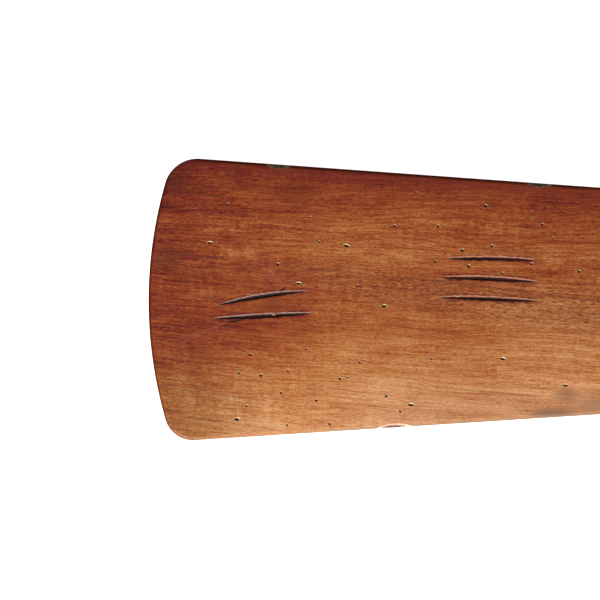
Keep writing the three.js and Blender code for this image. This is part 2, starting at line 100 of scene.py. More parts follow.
# Worm holes: distance from the tip, distance across, diameter.
WORM_HOLES = [
    (43, -51.5, 1.4), (87.2, -44.8, 1.1), (92.3, -31.5, 1.4), (69.9, -19.3, 1.7), (112.9, -7.8, 1.5),
    (55.4, 29.7, 1.5), (85.7, 26.4, 1.3), (49.3, 39.6, 1.5), (61.1, 40.8, 1.6), (75.7, 38.3, 1.4),
    (114.4, 33.6, 1.4), (103.7, 42.4, 1.7), (108, 41.6, 1.2), (71.9, 50.1, 1.3), (91.1, 54.2, 1.6),
    (53.4, 57.2, 1.4), (75.4, 67.6, 1.3), (98.3, 66.9, 1.5), (144.8, -58.3, 0.9), (182.2, -51.2, 1.8),
    (132.9, -40.4, 1.5), (156.4, -40.2, 1.6), (212.7, -41.4, 1.5), (218.6, -34, 1.2), (185.5, -29.6, 1.6),
    (169.6, -27.1, 1.8), (154.9, -20.9, 1.5), (173, -18.6, 1.7), (207, -20, 1.6), (191.3, -14.9, 1.5),
    (232.8, -16, 1.5), (153.1, 31.4, 1.4), (128.8, 51.7, 1.6), (136.4, 59.9, 1.5),
]

# Longer pits that run out at the tip end: distance from the tip, distance across, length, width.
WORM_PITS = [
    (33.1, -30.7, 3.5, 1.6), (106.8, -29.5, 3.8, 1.8), (81.3, -9, 3.4, 1.5), (48.3, 64.6, 3.3, 2),
    (127.4, 3.1, 3.1, 1.7), (191.6, 31.3, 3.5, 1.7), (225.5, 45.5, 3.5, 1.6), (142, 56.4, 3.7, 1.8),
]

ROOT_HOLES = {"count": 18, "from": 245, "to": 392, "spread": 48}

# Gouges: start and end as (from the tip, across), bow, width, depth, and how blunt the ends are.
GOUGES = [
    ((36.4, 3.4), (87.5, -4.9), -1.3, 2.6, 1.25, 0.75),
    ((33.8, 10.2), (89.6, 6.8), 0.25, 2.6, 1.3, 0.7),
    ((161, -22.7), (210, -22), -0.45, 2.4, 1.3, 0.45),
    ((156.8, -12.5), (211.2, -10.3), -0.6, 2.7, 1.3, 0.6),
    ((157.2, -1.9), (212, 0.1), -0.15, 2.5, 1.35, 0.55),
    ((292, 20.6), (337, 17.8), -0.6, 2, 1.25, 0.6),
    ((296, 30.4), (345, 28.6), 0.3, 2.2, 1.3, 0.5),
]

# Short nicks beside the first two gouges, in the same terms.
NICKS = [
    ((70.2, -4.4), (74.8, -7.2), 0.2, 0.9, 0.45, 0.8),
    ((43, 11.8), (51, 10.4), 0.3, 1.4, 0.5, 0.8),
]

# Flecks of pale bare wood in the gouges: distance from the tip, distance across.
CHIPS = [(67.7, 8.2), (166.8, -2.1)]
CHIP_REACH = (1.3, 0.5)

# Rasped dents in the arris: distance from the tip, side, half length, bite.
DENTS = [
    (69.8, -1, 6.2, 1.8), (210.9, -1, 6.5, 1.8), (132.9, 1, 7, 1.3), (318, -1, 7, 1.7),
    (388, 1, 6, 1.2),
]


# ---------------------------------------------------------------- meshes

def mesh_object(name, points, faces, material):
    """A new object from points in millimetres, with its faces turned outwards."""
    mesh = bpy.data.meshes.new(name)
    mesh.from_pydata([tuple(c * MM for c in p) for p in points], [], faces)
    mesh.materials.append(material)
    fix_normals(mesh)
    return linked(name, mesh)


def linked(name, data):
    obj = bpy.data.objects.new(name, data)
    bpy.context.scene.collection.objects.link(obj)
    return obj


def piece_from(points, faces, node, slot, material):
    """A piece that stands for a CAD node."""
    return stands_for(mesh_object(f"visual_{node}", points, faces, material), node)


def stands_for(obj, node):
    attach(obj, "root")
    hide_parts(node)
    return obj


def fix_normals(mesh):
    bm = bmesh.new()
    bm.from_mesh(mesh)
    bmesh.ops.recalc_face_normals(bm, faces=bm.faces)
    if bm.calc_volume(signed=True) < 0:
        bmesh.ops.reverse_faces(bm, faces=bm.faces)
    bm.to_mesh(mesh)
    bm.free()


def smooth(obj, angle=35):
    obj.data.shade_smooth()
    obj.data.set_sharp_from_angle(angle=math.radians(angle))


def stack(rings):
    """Points and faces of a tube through rings of equal length, with both ends capped."""
    size = len(rings[0])
    last = (len(rings) - 1) * size
    points = [p for ring in rings for p in ring]
    faces = []
    for start in range(0, last, size):
        for i in range(size):
            j = (i + 1) % size
            faces.append((start + i, start + j, start + size + j, start + size + i))
    faces.append(tuple(reversed(range(size))))
    faces.append(tuple(range(last, last + size)))
    return points, faces


SQUARE = ((-1, -1), (1, -1), (1, 1), (-1, 1))


def on_circle(radius, angle, z):
    return (radius * math.cos(angle), radius * math.sin(angle), z)


def lathe(profile, steps, closed=False):
    """A profile of (radius, height) turned about Z. A closed profile makes a ring."""
    points, faces = [], []
    count = len(profile)
    for i in range(steps):
        angle = 2 * math.pi * i / steps
        points += [on_circle(r, angle, z) for r, z in profile]
    for i in range(steps):
        j = (i + 1) % steps
        for k in range(count if closed else count - 1):
            m = (k + 1) % count
            faces.append((i * count + k, j * count + k, j * count + m, i * count + m))
    if not closed:
        faces.append(tuple(i * count for i in range(steps)))
        faces.append(tuple(i * count + count - 1 for i in reversed(range(steps))))
    return points, faces


def placed(points, matrix):
    """The points moved by a matrix."""
    return [tuple(matrix @ Vector(p)) for p in points]


def apply_modifiers(obj):
    graph = bpy.context.evaluated_depsgraph_get()
    made = bpy.data.meshes.new_from_object(obj.evaluated_get(graph))
    obj.modifiers.clear()
    obj.data = made


def cut(obj, points, faces, material):
    """Takes a solid out of obj; the new faces have the given material."""
    cutter = mesh_object("cutter", points, faces, material)
    modifier = obj.modifiers.new("cut", "BOOLEAN")
    modifier.operation = "DIFFERENCE"
    modifier.solver = "MANIFOLD"
    modifier.material_mode = "TRANSFER"
    modifier.object = cutter
    apply_modifiers(obj)
    bpy.data.objects.remove(cutter)


def merge_solids(parts):
    """Points and faces of several separate solids as one list."""
    points, faces = [], []
    for part_points, part_faces in parts:
        offset = len(points)
        points += part_points
        faces += [tuple(i + offset for i in face) for face in part_faces]
    return points, faces


# ---------------------------------------------------------------- the board's shape

TIP_STEPS = 36
TIP_CORNER_STEPS = 28
ROOT_CORNER_STEPS = 16
SIDE_STEPS = 60
HALVINGS = 40
ARRIS_STEPS = 16
FLAT_BAND = 0.5  # a narrow flat ring inside the arris keeps the big face's shading level
LEVEL_GAP = 0.02  # two levels closer than this count as one


def half_width(x):
    return ROOT_WIDTH / 2 + math.tan(TAPER) * (x - ROOT_X)


def corner_y(x, radius):
    return half_width(x) - radius / math.cos(TAPER)


def tip_corner_centre(corner):
    """A tip corner touches the side line and the tip arc, so its centre is found by halving."""
    near, far = TIP_X - 2 * corner, TIP_X
    for _ in range(HALVINGS):
        x = (near + far) / 2
        reach = math.hypot(x - (TIP_X - TIP_RADIUS), corner_y(x, corner))
        near, far = (near, x) if reach > TIP_RADIUS - corner else (x, far)
    return near, corner_y(near, corner)


def arc(centre, radius, start, end, steps):
    angles = [start + (end - start) * i / steps for i in range(steps + 1)]
    return [(centre[0] + radius * math.cos(a), centre[1] + radius * math.sin(a)) for a in angles]


def half_outline(inset, tip_corner):
    """From the middle of the tip round to the middle of the root, drawn in by inset."""
    tip = tip_corner_centre(tip_corner)
    root_x = ROOT_X + ROOT_CORNER
    root = (root_x, corner_y(root_x, ROOT_CORNER))
    middle = (TIP_X - TIP_RADIUS, 0)
    meet = math.atan2(tip[1], tip[0] - middle[0])
    side = math.pi / 2 + TAPER
    end = arc(middle, TIP_RADIUS - inset, 0, meet, TIP_STEPS)[:-1]
    corner = arc(tip, tip_corner - inset, meet, side, TIP_CORNER_STEPS)
    foot = arc(root, ROOT_CORNER - inset, side, math.pi, ROOT_CORNER_STEPS)
    (x0, y0), (x1, y1) = corner[-1], foot[0]
    shares = [i / SIDE_STEPS for i in range(1, SIDE_STEPS)]
    edge = [(x0 + (x1 - x0) * t, y0 + (y1 - y0) * t) for t in shares]
    return end + corner + edge + foot


def outline(inset):
    """The board's outline; every ring has the same points in the same order."""
    left, right = (half_outline(inset, corner) for corner in TIP_CORNERS)
    return left + [(x, -y) for x, y in right[:0:-1]]


def arris_inset(z):
    rise = max(0, EDGE_RADIUS - min(z - BACK_Z, SHOW_Z - z))
    return EDGE_RADIUS - math.sqrt(EDGE_RADIUS**2 - rise**2)


def ply_rings(low, high):
    """A ply's outline at each level from low to high, drawn in where the board's edge is rounded."""
    angles = [math.pi / 2 * i / ARRIS_STEPS for i in range(ARRIS_STEPS + 1)]
    heights = [EDGE_RADIUS * (1 - math.cos(a)) for a in angles]
    all_levels = [BACK_Z + h for h in heights] + [SHOW_Z - h for h in heights]
    inside = sorted(z for z in all_levels if low + LEVEL_GAP < z < high - LEVEL_GAP)
    levels = [(z, arris_inset(z)) for z in [low, *inside, high]]
    if low < BACK_Z + LEVEL_GAP:
        levels.insert(0, (low, EDGE_RADIUS + FLAT_BAND))
    if high > SHOW_Z - LEVEL_GAP:
        levels.append((high, EDGE_RADIUS + FLAT_BAND))
    return [[(x, y, z) for x, y in outline(inset)] for z, inset in levels]


# ---------------------------------------------------------------- the cutters that distress the face

GOUGE_STEPS = 90
NEEDLE = 0.07  # the share of a gouge's length over which each end thins to a line
PIT_SIDES = 20
DENT_RINGS = 40
DENT_SIDES = 36


def gouge_section(upper, lower, lip, deep):
    """Points across a gouge as (distance towards +Y, height), round from the +Y lip."""
    return [
        (upper + lip, 1), (-lower - lip, 1), (-lower - lip, 0), (-lower, -0.08 * deep),
        (-0.7 * lower, -0.38 * deep), (-0.35 * lower, -0.76 * deep), (0.05 * upper, -0.98 * deep),
        (0.4 * upper, -deep), (0.7 * upper, -0.9 * deep), (0.9 * upper, -0.55 * deep),
        (upper, -0.12 * deep), (upper + lip, 0),
    ]


def gouge_cutter(number, start, end, bow, width, depth, bluntness):
    """One tool cut: a gentle wall on its -Y side, a steep one opposite, torn lips and needle ends."""
    rng = random.Random(100 + number)
    phases = [rng.uniform(0, 2 * math.pi) for _ in range(6)]

    def torn(t, k):
        waves = ((1, 37), (0.6, 83), (0.5, 151))
        return sum(size * math.sin(turns * t + phases[k + i]) for i, (size, turns) in enumerate(waves))

    x0, y0 = TIP_X - start[0], start[1]
    x1, y1 = TIP_X - end[0], end[1]
    length = math.hypot(x1 - x0, y1 - y0)
    ax, ay = (y1 - y0) / length, (x0 - x1) / length
    rings = []
    for i in range(GOUGE_STEPS + 1):
        t = i / GOUGE_STEPS
        ends = min(1, t / NEEDLE, (1 - t) / NEEDLE)
        swell = math.sin(math.pi * t) ** bluntness
        full = max(0.04, swell * (0.25 + 0.75 * ends) * min(1, 4 * ends))
        upper = (width / 2 + 0.05 * torn(t, 0)) * full
        lower = (width / 2 + 0.06 * torn(t, 3)) * full
        shift = bow * 4 * t * (1 - t)
        cx = x0 + (x1 - x0) * t + ax * shift
        cy = y0 + (y1 - y0) * t + ay * shift
        section = gouge_section(upper, lower, 0.1 * full, depth * full)
        rings.append([(cx + ax * v, cy + ay * v, SHOW_Z + z) for v, z in section])
    return stack(rings)


def turned(x, y, angle):
    return x * math.cos(angle) - y * math.sin(angle), x * math.sin(angle) + y * math.cos(angle)


def pit_cutter(number, from_tip, across, length, width, pointed=0):
    """A worm's exit hole, bored at a slant: it shows its -Y wall and is undercut on the +Y side."""
    rng = random.Random(500 + number)
    uneven = [1 + rng.uniform(-0.09, 0.09) for _ in range(PIT_SIDES)]
    depth = 0.62 * width
    turn = rng.uniform(-0.3, 0.15)
    slant_x = rng.uniform(0.1, 0.35) + pointed
    slant_y = rng.uniform(0.55, 0.7) * (1 - 0.8 * pointed)
    profile = [
        (0.22, -depth), (0.5, -0.86 * depth), (0.72, -0.56 * depth), (0.88, -0.26 * depth),
        (0.98, -0.05), (1.04, 0), (1.04, 1),
    ]
    rings = []
    for share, z in profile:
        ring = []
        for i in range(PIT_SIDES):
            angle = 2 * math.pi * i / PIT_SIDES
            r = width / 2 * share * (uneven[i] if share > 0.3 else 1)
            narrow = 1 - pointed * max(0, math.cos(angle))
            x, y = turned(r * math.cos(angle) * length / width, r * math.sin(angle) * narrow, turn)
            sunk = min(z, 0)
            ring.append((TIP_X - from_tip + x - slant_x * sunk, across + y - slant_y * sunk, SHOW_Z + z))
        rings.append(ring)
    return stack(rings)


def dent_cutter(number, from_tip, side, half_length, bite):
    """A rasped bite out of the arris: a long ellipsoid with a chattered skin."""
    rng = random.Random(900 + number)
    phases = [rng.uniform(0, 6.28) for _ in range(4)]
    x = TIP_X - from_tip
    turn = Matrix.Rotation(side * TAPER, 4, "Z")
    centre = Vector((x, side * (half_width(x) - 0.35 * bite), SHOW_Z - 0.2 * bite))
    rings = []
    for i in range(1, DENT_RINGS):
        polar = math.pi * i / DENT_RINGS
        ring = []
        for j in range(DENT_SIDES):
            angle = 2 * math.pi * j / DENT_SIDES
            rough = 1 + 0.06 * math.sin(9 * polar + phases[0]) * math.sin(3 * angle + phases[1])
            rough += 0.05 * math.sin(23 * polar + phases[2] + 2 * math.cos(angle + phases[3]))
            local = Vector((
                half_length * math.cos(polar),
                bite * math.sin(polar) * math.cos(angle) * rough,
                1.5 * bite * math.sin(polar) * math.sin(angle) * rough,
            ))
            ring.append(tuple(centre + turn @ local))
        rings.append(ring)
    return stack(rings)


def root_holes():
    """Holes towards the root follow no pattern, so they come from a low-discrepancy sequence."""
    def fraction(value):
        return value - math.floor(value)

    along_step, across_step = 0.7549, 0.5698  # the two steps of the R2 sequence
    reach = ROOT_HOLES["to"] - ROOT_HOLES["from"]
    return [
        (
            ROOT_HOLES["from"] + reach * fraction(0.13 + along_step * i),
            ROOT_HOLES["spread"] * (2 * fraction(0.41 + across_step * i) - 1),
            1.4 + 0.6 * fraction(0.31 * i),
        )
        for i in range(ROOT_HOLES["count"])
    ]


# ---------------------------------------------------------------- a short way to write materials

class Graph:
    """A node tree written as sums. Every number or socket can be an input."""

    def __init__(self, name):
        self.material = bpy.data.materials.new(name)
        self.material.use_nodes = True
        self.tree = self.material.node_tree
        self.tree.nodes.clear()
        self.mm = self.scaled(self.node("ShaderNodeTexCoord").outputs["Object"], 1 / MM)
        self.x, self.y, self.z = self.parts(self.mm)

    def node(self, kind, inputs=None, **settings):
        made = self.tree.nodes.new(kind)
        for key, value in settings.items():
            setattr(made, key, value)
        for key, value in (inputs or {}).items():
            self.join(value, made.inputs[key])
        return made

    def join(self, value, target):
        if isinstance(value, bpy.types.NodeSocket):
            self.tree.links.new(value, target)
        elif isinstance(value, tuple) and len(value) == 3 and target.type == "RGBA":
            target.default_value = (*value, 1)
        else:
            target.default_value = value

    def math(self, operation, *values):
        return self.node("ShaderNodeMath", dict(enumerate(values)), operation=operation).outputs[0]

    def add(self, *values):
        total = values[0]
        for value in values[1:]:
            total = self.math("ADD", total, value)
        return total

    def times(self, *values):
        total = values[0]
        for value in values[1:]:
            total = self.math("MULTIPLY", total, value)
        return total

    def minus(self, a, b):
        return self.math("SUBTRACT", a, b)

    def step(self, value, low, high):
        """0 below low, 1 above high, smooth between; low may be the larger to turn it round."""
        inputs = {"Value": value, "From Min": low, "From Max": high}
        return self.node("ShaderNodeMapRange", inputs, interpolation_type="SMOOTHSTEP").outputs[0]

    def scaled(self, vector, factor):
        return self.node("ShaderNodeVectorMath", {0: vector, "Scale": factor}, operation="SCALE").outputs[0]

    def parts(self, vector):
        return self.node("ShaderNodeSeparateXYZ", {0: vector}).outputs

    def vector(self, x, y, z):
        return self.node("ShaderNodeCombineXYZ", {0: x, 1: y, 2: z}).outputs[0]

    def noise(self, vector, detail=2, roughness=0.5):
        inputs = {"Vector": vector, "Scale": 1, "Detail": detail, "Roughness": roughness}
        return self.node("ShaderNodeTexNoise", inputs).outputs[0]

    def grit(self, size, detail=2, roughness=0.5):
        """Noise whose features are about this size in millimetres in every direction."""
        return self.noise(self.scaled(self.mm, 1 / size), detail, roughness)

    def patches(self, length, breadth, seed, detail=2, roughness=0.5, across=None):
        """Noise whose features have about this length along X, and this breadth along Y or across."""
        y = self.y if across is None else across
        place = self.vector(self.times(self.x, 1 / length), self.times(y, 1 / breadth), seed)
        return self.noise(place, detail, roughness)

    def cells(self, vector):
        """Distance to the nearest of many scattered points, about 1 apart."""
        return self.node("ShaderNodeTexVoronoi", {"Vector": vector, "Scale": 1}).outputs["Distance"]

    def mix(self, factor, a, b, blend="MIX"):
        made = self.node("ShaderNodeMix", data_type="RGBA", blend_type=blend)
        self.join(factor, made.inputs[0])
        self.join(a, made.inputs[6])
        self.join(b, made.inputs[7])
        return made.outputs[2]

    def ramp(self, factor, stops):
        made = self.node("ShaderNodeValToRGB", {0: factor})
        elements = made.color_ramp.elements
        while len(elements) < len(stops):
            elements.new(1)
        for element, (place, colour) in zip(elements, stops):
            element.position = place
            element.color = (*colour, 1)
        return made.outputs[0]

    def bump(self, height, distance, strength=1, normal=None):
        inputs = {"Height": height, "Distance": distance * MM, "Strength": strength}
        if normal is not None:
            inputs["Normal"] = normal
        return self.node("ShaderNodeBump", inputs).outputs[0]

    def finish(self, **inputs):
        """Ends the tree in a Principled surface."""
        names = {key.replace("_", " "): value for key, value in inputs.items()}
        shader = self.node("ShaderNodeBsdfPrincipled", names)
        self.tree.links.new(shader.outputs[0], self.node("ShaderNodeOutputMaterial").inputs[0])
        return self.material


def srgb(red, green, blue):
    """A colour given as 0 to 255, in the linear values that shaders use."""
    def linear(c):
        c /= 255
        return c / 12.92 if c <= 0.04045 else ((c + 0.055) / 1.055) ** 2.4

    return linear(red), linear(green), linear(blue)


# ---------------------------------------------------------------- wood

# Stain colours from the darkest pore to the palest streak.
STAIN = [
    (0, srgb(48, 13, 9)),
    (0.2, srgb(103, 31, 17)),
    (0.4, srgb(141, 58, 25)),
    (0.5, srgb(157, 75, 30)),
    (0.6, srgb(168, 92, 42)),
    (0.7, srgb(183, 112, 58)),
    (0.85, srgb(205, 140, 88)),
    (1, srgb(228, 170, 120)),
]

# How pale the stain is from the -Y edge (0) to the +Y edge (1). The paling towards +Y is partly painted
# light: the falloff and sheen of the lamp on that side.
TONE_ACROSS = [
    (0, 0.30), (0.1, 0.37), (0.22, 0.50), (0.34, 0.55), (0.46, 0.52), (0.6, 0.60), (0.7, 0.69),
    (0.84, 0.78), (1, 0.86),
]

# Stained spots on the show face: place (from the tip, across), reach the same way, strength, colour.
SPOTS = [
    ((14, -62.5), (13, 6), 0.5, srgb(76, 22, 15)),
    ((10, -22), (10, 9), 0.45, srgb(84, 44, 24)),
    ((80, -58), (18, 8), 0.4, srgb(92, 24, 18)),
    ((66, 3), (9, 8), 0.4, srgb(96, 30, 16)),
    ((226, 51), (10, 5), 0.55, srgb(128, 84, 66)),
    ((219, 61), (17, 4.5), 0.7, srgb(118, 90, 76)),
    ((244, 57), (18, 8), 0.45, srgb(134, 98, 84)),
]

# Where the stain as a whole is thinner (above 0) or heavier: place, reach, push.
TONE_PATCHES = [
    ((64, 19), (56, 27), -0.13), ((20, 25), (24, 18), -0.07), ((16, -28), (26, 12), -0.06),
    ((14, 50), (18, 11), 0.08), ((76, 52), (22, 15), -0.05), ((98, -42), (105, 17), 0.09),
    ((138, -20), (55, 22), 0.07), ((112, -9), (22, 12), 0.05), ((216, 7), (58, 28), 0.09),
    ((145, 39), (42, 14), 0.07), ((160, -68), (110, 11), -0.08), ((230, -53), (36, 14), -0.08),
    ((100, 27), (22, 13), 0.08), ((174, 18), (46, 9), -0.06), ((196, 1), (42, 8), 0.06),
    ((170, 41), (30, 10), -0.05), ((84, 2), (14, 8), -0.06), ((12, 40), (11, 9), 0.05),
]

# Dark single fibres: start and end as (from the tip, across), strength.
DARK_FIBRES = [
    ((13, -25), (40, -22.3), 0.5), ((38, -22.6), (72, -18.6), 0.4), ((70, -18.8), (106, -15.6), 0.55),
    ((104, -15.9), (150, -11.2), 0.5), ((148, -11.6), (208, -4.4), 0.6), ((206, -4.9), (250, 1.2), 0.6),
    ((172, -28.2), (222, -25.2), 0.3), ((214, 4), (250, 7.6), 0.35), ((20, -2.2), (52, 0.6), 0.3),
    ((7, 45.6), (17, 46.4), 0.6), ((8, 58.8), (18, 60.2), 0.7), ((16, 63.2), (42, 65.9), 0.5),
    ((44, 66.8), (68, 69.4), 0.45), ((17, 48), (29, 49.8), 0.6), ((29.5, 50.3), (66, 54.5), 0.45),
    ((26, 36.1), (43, 38), 0.45), ((84, 45), (128, 51.5), 0.3), ((150, 46), (215, 52), 0.35),
]


def grain_space(g):
    """Distance from the tip, and the across-grain coordinate that follows the fibres as they drift."""
    from_tip = g.minus(TIP_X, g.x)
    lean = g.add(0.02, g.times(0.055, g.step(g.y, -60, 25)))
    run = g.times(260, g.math("TANH", g.times(from_tip, 1 / 260)))
    drift = g.minus(g.y, g.times(run, lean))
    sway = g.patches(110, 30, 0, detail=1)
    ripple = g.patches(26, 7, 3, detail=1)
    across = g.add(drift, g.times(9, g.minus(sway, 0.5)), g.times(1.3, g.minus(ripple, 0.5)))
    return from_tip, across


def fibres(g, across, length, thickness, seed, detail=2, roughness=0.5):
    """Noise drawn out along the grain, in fibres of about this length and thickness."""
    depth = g.add(g.times(g.z, 1 / thickness), seed)
    return g.patches(length, thickness, depth, detail, roughness, across)


def swing(g, value, amount):
    """Turns a noise of mean a half into a push either way."""
    return g.times(g.minus(value, 0.5), 2 * amount)


def dark_swing(g, value, amount):
    """As swing, but it darkens more than it lightens, as stain in open fibres does."""
    push = g.minus(value, 0.5)
    return g.times(g.minus(push, g.times(0.3, g.math("ABSOLUTE", push))), 2 * amount)


def line_mask(g, from_tip, start, end, bow, width, softness):
    """1 along a bowed line from start to end, falling to 0 at its width; the ends are soft."""
    (u0, v0), (u1, v1) = start, end
    t = g.times(g.minus(from_tip, u0), 1 / (u1 - u0))
    arch = g.times(4 * bow, t, g.minus(1, t))
    middle = g.add(v0, g.times(v1 - v0, t), arch)
    away = g.math("ABSOLUTE", g.minus(g.y, middle))
    body = g.step(away, width + softness, width)
    ends = g.times(g.step(t, 0, 0.12), g.step(t, 1, 0.88))
    return g.times(body, ends)


def blot(g, from_tip, place, reach):
    """1 in the middle of a soft oval spot, falling to 0 at its reach along and across the blade."""
    along = g.times(g.minus(from_tip, place[0]), 1 / reach[0])
    sideways = g.times(g.minus(g.y, place[1]), 1 / reach[1])
    away = g.math("SQRT", g.add(g.times(along, along), g.times(sideways, sideways)))
    return g.step(away, 1.15, 0.15)


def thin_side(g):
    """0 on the heavily stained side and 1 on the thinly stained one."""
    return g.step(g.y, -30, 60)


def stain_and_light_tone(g, from_tip, show_face):
    """How pale the stain is without its grain: heaviest along the -Y edge and at the tip, and paler towards
    +Y, partly as painted light from that side.
    """
    edge_share = g.times(g.add(g.y, TIP_WIDTH / 2), 1 / TIP_WIDTH)
    tone = g.ramp(edge_share, [(place, (pale,) * 3) for place, pale in TONE_ACROSS])
    tip_load = g.add(0.15, g.times(0.17, thin_side(g)))
    tip_reach = g.minus(95, g.times(26, thin_side(g)))
    tone = g.minus(tone, g.times(tip_load, g.step(from_tip, tip_reach, -12)))
    far_half = g.times(0.045, g.step(from_tip, 150, 230), g.step(g.y, -5, 20))
    near_edge = g.times(0.03, g.step(from_tip, 95, 115), g.step(from_tip, 165, 145))
    tone = g.add(tone, far_half, g.times(near_edge, g.step(g.y, 35, 50)))
    if show_face:
        for place, reach, push in TONE_PATCHES:
            tone = g.add(tone, g.times(push, blot(g, from_tip, place, reach)))
    return tone


def grain_tone(g, from_tip, across, hair, thread, figure):
    """The grain's push on the tone. It stands out most by the tip, and less on the thinly stained side."""
    grain = g.add(
        0.03,
        swing(g, g.patches(0.9, 0.55, 3, detail=1), 0.24),
        dark_swing(g, hair, 0.38),
        dark_swing(g, thread, 0.27),
        dark_swing(g, fibres(g, across, 50, 1.8, 9), 0.17),
        swing(g, fibres(g, across, 140, 11, 13), 0.15),
        swing(g, g.patches(22, 9, 17, detail=3, roughness=0.55), 0.13),
        g.times(swing(g, figure, 0.13), g.step(g.patches(45, 30, 25, detail=1), 0.42, 0.62)),
    )
    livelier = g.times(0.22, g.step(from_tip, 70, 15), g.minus(1, g.times(0.6, thin_side(g))))
    calmer = g.times(0.13, g.step(g.y, -15, 25))
    return g.times(grain, g.minus(g.add(1, livelier), calmer))


def tinted(g, colour, tone, from_tip):
    """Redder in blotches, most of all towards the tip; greener at the pale corner, paler and greyer along
    the +Y edge away from the tip.
    """
    blotch = g.patches(14, 6, 71, detail=3, roughness=0.6)
    heavy = g.times(g.step(from_tip, 150, 30), g.step(g.y, 40, -20))
    redness = g.times(g.step(blotch, 0.44, 0.64), g.add(0.12, g.times(0.38, heavy)))
    colour = g.mix(g.times(redness, g.step(tone, 0.8, 0.3)), colour, srgb(110, 26, 18))
    olive = g.times(0.8, g.step(from_tip, 75, 15), g.step(g.y, 5, 50))
    colour = g.mix(olive, colour, srgb(226, 248, 255), "MULTIPLY")
    # Paler and greyer along the +Y edge, from about 80 mm in from the tip.
    greyer_band = g.times(0.17, g.step(from_tip, 80, 160), g.step(g.y, 38, 64))
    return g.mix(greyer_band, colour, srgb(188, 152, 126))


def open_pores(g, across):
    """1 in short dashes along the grain, which crowd together in places."""
    place = g.vector(g.times(g.x, 1 / 3), g.times(across, 1 / 0.62), g.times(g.z, 1 / 0.62))
    crowd = g.patches(24, 5, 31, across=across)
    return g.times(g.step(g.cells(place), 0.24, 0.10), g.step(crowd, 0.46, 0.62))


def bloomed(g, colour, from_tip, across):
    """Dark and pale dashes in one band that drifts across the blade as it leaves the tip."""
    middle = g.add(-21, g.times(0.115, from_tip))
    width = g.add(4, g.times(0.055, from_tip))
    away = g.math("DIVIDE", g.math("ABSOLUTE", g.minus(g.y, middle)), width)
    fuller = g.add(0.35, g.times(0.65, g.step(from_tip, 60, 150)))
    bloom = g.times(g.step(away, 1.3, 0.2), g.step(from_tip, 270, 240), fuller)
    dash = g.patches(3.4, 0.55, 41, detail=1.5, roughness=0.6, across=across)
    colour = g.mix(g.times(0.68, bloom, g.step(dash, 0.5, 0.36)), colour, srgb(84, 36, 28))
    return g.mix(g.times(0.5, bloom, g.step(dash, 0.57, 0.70)), colour, srgb(160, 128, 110))


def marked(g, colour, from_tip, hair, thread, figure):
    """Single fibres, spots, the glaze round the gouges, a dark mineral streak and a pale one."""
    for start, end, strength in DARK_FIBRES:
        fibre = line_mask(g, from_tip, start, end, 0.3, 0.05, 0.45)
        colour = g.mix(g.times(strength, fibre), colour, srgb(88, 56, 46))
    broken = g.add(-0.6, g.times(1.6, thread), g.times(1.6, hair))
    for place, reach, strength, spot in SPOTS:
        colour = g.mix(g.times(strength, blot(g, from_tip, place, reach), broken), colour, spot)
    patchy = g.add(0.3, g.times(0.7, g.step(figure, 0.4, 0.6)))
    for start, end, bow, width, *_ in GOUGES:
        halo = line_mask(g, from_tip, start, end, bow, width / 2, 1.2)
        colour = g.mix(g.times(halo, patchy), colour, srgb(98, 20, 12))
    mineral = line_mask(g, from_tip, (25, -58.5), (43, -57), 1.6, 0.15, 0.4)
    colour = g.mix(g.times(0.6, mineral), colour, srgb(60, 20, 15))
    pale_streak = line_mask(g, from_tip, (104, 41), (250, 54), 0, 0.1, 0.6)
    return g.mix(g.times(0.22, pale_streak), colour, srgb(230, 180, 130))


def inside_outline(g):
    """How far a point lies inside the nearer side line, and inside the side lines and the tip's arc."""
    half = g.add(ROOT_WIDTH / 2, g.times(math.tan(TAPER), g.minus(g.x, ROOT_X)))
    from_side = g.minus(half, g.math("ABSOLUTE", g.y))
    from_middle = g.minus(g.x, TIP_X - TIP_RADIUS)
    reach = g.math("SQRT", g.add(g.times(from_middle, from_middle), g.times(g.y, g.y)))
    return from_side, g.math("MINIMUM", from_side, g.minus(TIP_RADIUS, reach))


def edged(g, colour, from_tip, from_side, from_edge):
    """A dark glaze along the arris on the heavily stained side and round the tip, which also paints the
    shade of edges turned from the light; opposite, rubbed paler with a painted sheen where the +Y edge
    faces the light.
    """
    rubbed_lit_side = g.times(g.step(g.y, 40, 60), g.step(from_tip, 14, 28))
    reddened = g.times(0.5, g.step(from_side, 10, 3), g.step(g.y, -30, -50))
    colour = g.mix(reddened, colour, srgb(116, 32, 24))
    thin_corner = g.times(0.35, g.step(g.y, 15, 40))
    # Glaze and painted shade: the dark line darkens the edges turned from the light, and is left off the
    # lit +Y side.
    glaze = g.times(g.step(from_edge, 1.9, 0.5), g.minus(1, rubbed_lit_side), g.minus(0.85, thin_corner))
    colour = g.mix(glaze, colour, srgb(60, 14, 9))
    fuller_inwards = g.add(0.7, g.times(0.3, g.step(from_tip, 50, 110)))
    # Rubbed wood and painted sheen: the lit +Y arris is painted paler and greyer.
    rubbed = g.times(0.85, g.step(from_edge, 2.4, 0.2), rubbed_lit_side, fuller_inwards)
    return g.mix(rubbed, colour, srgb(160, 126, 98))


def flaked_and_glinting(g, colour, from_tip, from_side, hair):
    """Near-white round the dents on the +Y edge: pale where the lacquer has flaked off, with a painted
    highlight on the dents' lit lips.
    """
    for dent_from_tip, side, half_length, bite in DENTS:
        if side > 0:
            along = g.times(g.minus(from_tip, dent_from_tip + 0.5), 1 / (1.5 * half_length))
            inwards = g.times(from_side, 1 / (1.75 * bite))
            away = g.add(g.times(along, along), g.math("ABSOLUTE", inwards), swing(g, hair, 0.25))
            # Partly a painted highlight on the lit lips of the dents.
            bare = g.times(g.step(away, 1.1, 0.9), g.step(g.y, 0, 1))
            colour = g.mix(g.times(0.9, bare), colour, srgb(246, 224, 198))
    return colour


